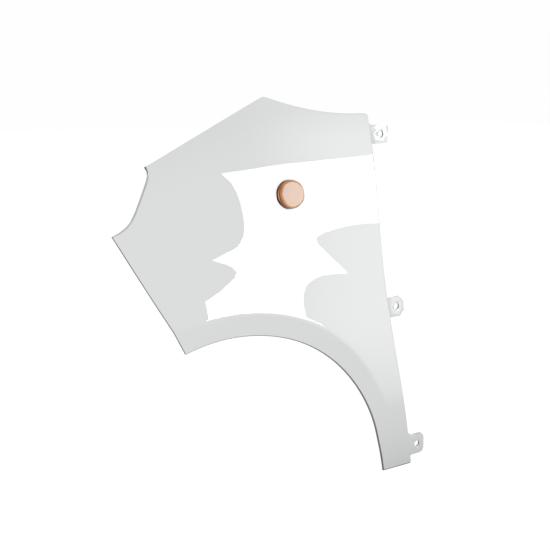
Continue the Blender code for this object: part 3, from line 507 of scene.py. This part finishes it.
def on_main_skin(pixel):
    """Where a pixel's line of sight meets the skin, without its band, and the direction of that line."""
    across, down = pixel
    eye = camera.matrix_world.translation - WHEEL_CENTRE
    sight = Vector(((across - PICTURE / 2.0) / PICTURE * SENSOR, (PICTURE / 2.0 - down) / PICTURE * SENSOR,
                    -CAMERA_LENS))
    sight = (camera.matrix_world.to_3x3() @ sight).normalized()
    depth = 0.0
    for _try in range(SKIN_TRIES):
        place = eye + sight * ((depth - eye.y) / sight.y)
        depth += SKIN_STEP_SHARE * (skin_depth(place.x, place.z, 0.0) - depth)
    return place, sight


def mirrored(pixel, facing, distance):
    """Point of a card, at a distance and facing the panel, that a pixel of the panel mirrors."""
    place, sight = on_main_skin(pixel)
    away_from_skin = sight.reflect(skin_normal(place.x, place.z, 0.0).normalized())
    card = CAMERA_AIM + facing * distance
    start = place + WHEEL_CENTRE
    return start + away_from_skin * ((card - start).dot(facing) / away_from_skin.dot(facing))


def flat_card(name, corners, material):
    """Flat card through the given corners."""
    bpy.ops.mesh.primitive_circle_add(vertices=len(corners), fill_type="NGON")
    card = bpy.context.active_object
    card.name = name
    for vertex, corner in zip(card.data.vertices, corners):
        vertex.co = corner
    card.data.materials.append(material)
    return card


def only_in_gloss(piece):
    """Leave a piece of the stage to mirrors and gloss."""
    piece.visible_camera = False
    piece.visible_diffuse = False
    piece.visible_shadow = False
    piece.visible_transmission = False


def glowing(name, strength):
    """White glowing material that mirrors nothing itself."""
    return new_material(name, Base_Color=BLACK, Specular_IOR_Level=0.0, Emission_Color=WHITE,
                        Emission_Strength=strength)


bpy.context.view_layer.update()
facing = Vector((math.sin(WINDOW_BEARING), -math.cos(WINDOW_BEARING), 0.0))
opening = [mirrored(pixel, facing, WINDOW_DISTANCE) for pixel in WINDOW_OUTLINE]
only_in_gloss(flat_card("window", opening, glowing("window", WINDOW_LIGHT)))

# Soft light: a broad pale screen behind the window, brightest on the right, that fades towards the front, the
# ceiling and the ground. The paint mirrors it faintly, which makes the greys of the panel change from side to side.
SCREEN_GAP = 0.25
SCREEN_SIZE = 9.0
SCREEN_LIGHT = 3.4
SCREEN_LEFT = (-0.6, 0.75)
SCREEN_RIGHT = (1.7, 1.0)
SCREEN_BOTTOM = (-1.35, -0.6)
SCREEN_TOP = (2.5, 1.1)
SCREEN_FLOOR_SHARE = 0.3

bpy.ops.mesh.primitive_plane_add(size=SCREEN_SIZE, location=CAMERA_AIM + facing * (WINDOW_DISTANCE + SCREEN_GAP),
                                 rotation=(math.pi / 2.0, 0.0, WINDOW_BEARING))
screen = bpy.context.active_object
screen.name = "screen"
glow = glowing("soft_screen", 0.0)
tree = glow.node_tree
place = tree.nodes.new("ShaderNodeTexCoord")
parts = tree.nodes.new("ShaderNodeSeparateXYZ")
tree.links.new(place.outputs["Object"], parts.inputs["Vector"])
fades = []
for axis, (dark, bright) in (("X", SCREEN_LEFT), ("X", SCREEN_RIGHT), ("Y", SCREEN_BOTTOM), ("Y", SCREEN_TOP)):
    fade = tree.nodes.new("ShaderNodeMapRange")
    fade.interpolation_type = "SMOOTHSTEP"
    fade.inputs["From Min"].default_value = dark
    fade.inputs["From Max"].default_value = bright
    tree.links.new(parts.outputs[axis], fade.inputs["Value"])
    fades.append(fade)
left, right, bottom, top = fades
left.inputs["To Max"].default_value = SCREEN_LIGHT - 1.0
top.inputs["To Min"].default_value = SCREEN_FLOOR_SHARE
brightness = left.outputs["Result"]
for operation, other in (("MULTIPLY", right), ("ADD", None), ("MULTIPLY", bottom), ("MULTIPLY", top)):
    step = tree.nodes.new("ShaderNodeMath")
    step.operation = operation
    step.inputs[1].default_value = 1.0
    tree.links.new(brightness, step.inputs[0])
    if other:
        tree.links.new(other.outputs["Result"], step.inputs[1])
    brightness = step.outputs["Value"]
tree.links.new(brightness, shader_of(glow).inputs["Emission Strength"])
screen.data.materials.append(glow)
only_in_gloss(screen)

# Black flag: a piece of black felt that lies under the panel's rear foot. It keeps the floor's light off the foot,
# which grows dark in the photograph.
FOOT_FLAG = ((-0.16, -0.14, -0.42), (0.30, -0.14, -0.42), (0.30, 0.10, -0.42), (-0.16, 0.10, -0.42))
FELT_COLOUR = (0.01, 0.01, 0.01, OPAQUE)

felt = new_material("black_felt", Base_Color=FELT_COLOUR, Roughness=1.0, Specular_IOR_Level=0.0)
flag = flat_card("foot_flag", FOOT_FLAG, felt)
flag.visible_camera = False
flag.visible_glossy = False

# Shaded ground: what the paint mirrors of the ground in front of the panel is darker than the floor, and grows
# brighter towards the screen. It darkens the band round the arch and the foot, as in the photograph.
GROUND_HEIGHT = -0.87
GROUND_LENGTH = 3.0
GROUND_WIDTH = 8.0
GROUND_LIGHT = 1.6
GROUND_TONES = ((0.0, 0.63), (0.25, 0.63), (0.42, 0.27), (0.62, 0.27), (0.86, 1.0))
GROUND_CORNER_SHARES = ((0.0, -0.5), (1.0, -0.5), (1.0, 0.5), (0.0, 0.5))

across = facing.cross(Vector((0.0, 0.0, 1.0)))
corners = []
for ahead, side in GROUND_CORNER_SHARES:
    corner = CAMERA_AIM + facing * (GROUND_LENGTH * ahead) + across * (GROUND_WIDTH * side)
    corners.append(Vector((corner.x, corner.y, GROUND_HEIGHT)))
earth = glowing("ground", GROUND_LIGHT)
only_in_gloss(flat_card("ground", corners, earth))
tree = earth.node_tree
place = tree.nodes.new("ShaderNodeTexCoord")
along = tree.nodes.new("ShaderNodeMapping")
along.vector_type = "TEXTURE"
along.inputs["Location"].default_value = (CAMERA_AIM.x, CAMERA_AIM.y, 0.0)
along.inputs["Rotation"].default_value = (0.0, 0.0, WINDOW_BEARING - math.pi / 2.0)
along.inputs["Scale"].default_value = (GROUND_LENGTH, GROUND_LENGTH, 1.0)
parts = tree.nodes.new("ShaderNodeSeparateXYZ")
tones = add_tones(tree, [(share, (tone, tone, tone)) for share, tone in GROUND_TONES])
tones.color_ramp.interpolation = "EASE"
tree.links.new(place.outputs["Object"], along.inputs["Vector"])
tree.links.new(along.outputs["Vector"], parts.inputs["Vector"])
tree.links.new(parts.outputs["X"], tones.inputs["Fac"])
tree.links.new(tones.outputs["Color"], shader_of(earth).inputs["Emission Color"])

# Floor and surroundings: a wide white floor well below the part and white air all round.
FLOOR_DROP = 0.55
FLOOR_SIZE = 60.0
FLOOR_COLOUR = (0.9, 0.9, 0.9, OPAQUE)
FLOOR_ROUGHNESS = 0.9
FLOOR_GLOW = 0.15
AIR_COLOUR = (0.99, 0.99, 0.99, OPAQUE)
AIR_LIGHT = 1.0

bpy.ops.mesh.primitive_plane_add(size=FLOOR_SIZE, location=(0.0, 0.0, cad_box[0].z - FLOOR_DROP))
floor = bpy.context.active_object
floor.name = "floor"
chalk = new_material("white_floor", Base_Color=FLOOR_COLOUR, Roughness=FLOOR_ROUGHNESS,
                     Specular_IOR_Level=0.0, Emission_Color=WHITE, Emission_Strength=FLOOR_GLOW)
floor.data.materials.append(chalk)

world = bpy.data.worlds.new("studio")
world.use_nodes = True
bpy.context.scene.world = world
world.node_tree.nodes["Background"].inputs["Color"].default_value = AIR_COLOUR
world.node_tree.nodes["Background"].inputs["Strength"].default_value = AIR_LIGHT
bpy.context.scene.view_settings.view_transform = "Standard"
